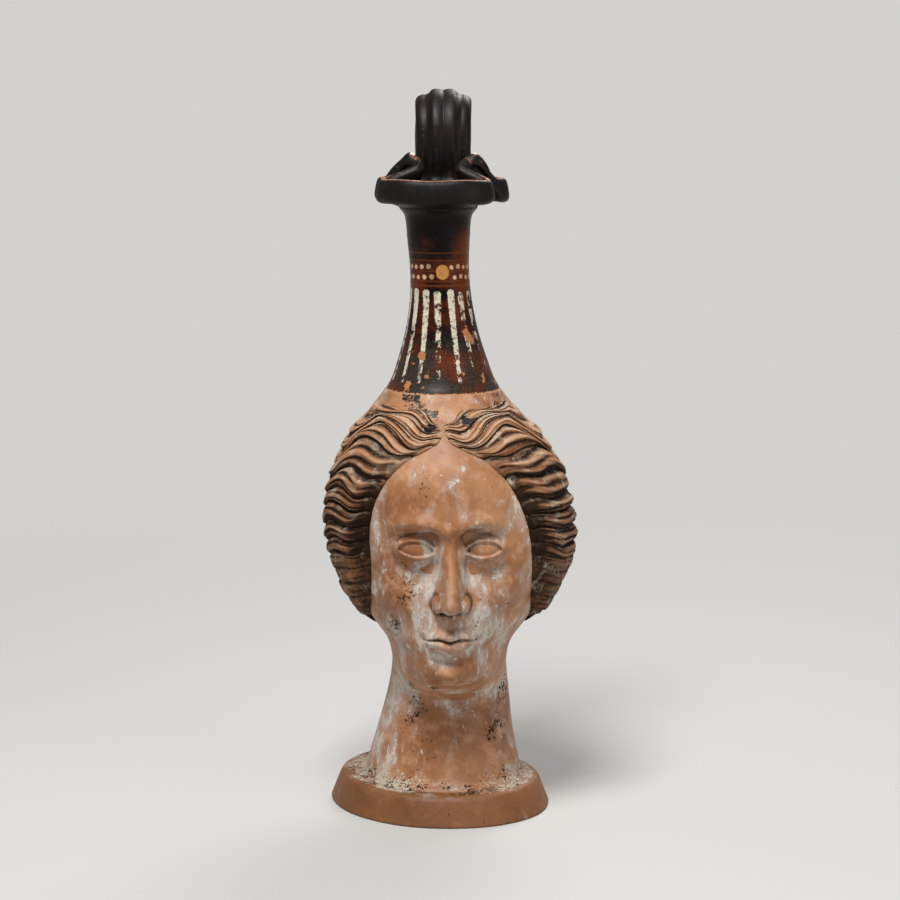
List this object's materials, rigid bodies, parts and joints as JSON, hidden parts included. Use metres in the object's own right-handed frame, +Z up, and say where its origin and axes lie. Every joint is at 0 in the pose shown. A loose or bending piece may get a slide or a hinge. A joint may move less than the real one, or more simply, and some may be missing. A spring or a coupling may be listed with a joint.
{
  "type": "figural jug",
  "caption": "Ceramic jug whose body is a moulded head on a foot, with a tall black neck, a pinched trefoil mouth and a high ribbed handle.",
  "frame": {"origin": "middle of the foot's flat underside, below the axis of the vessel's neck", "axes": "+Z up from the foot to the mouth, the face looks along -Y, the handle is on the +Y side, +X is to the right for someone who looks at the face"},
  "size_m": [0.108, 0.1181, 0.3024],
  "materials": {
    "foot_clay": "smooth unglazed terracotta with pale crust on its upper edge",
    "face_clay": "burnished terracotta with remains of white slip",
    "back_clay": "smooth unglazed terracotta",
    "hair_clay": "unglazed terracotta with dark and white deposit in the grooves",
    "collar_clay": "unglazed terracotta",
    "painted_neck": "semi-gloss black slip with added white tongues and dots",
    "black_gloss": "worn satin black slip"
  },
  "bodies": {
    "root": {"foot_plinth": "foot_clay", "front_half": "face_clay", "back_half": "back_clay", "hair_left": "hair_clay", "hair_right": "hair_clay", "joint_collar": "collar_clay", "vessel_neck": "painted_neck", "trefoil_mouth": "black_gloss", "handle_roll_1": "black_gloss", "handle_roll_2": "black_gloss", "handle_roll_3": "black_gloss", "handle_roll_4": "black_gloss"}
  },
  "joints": []
}
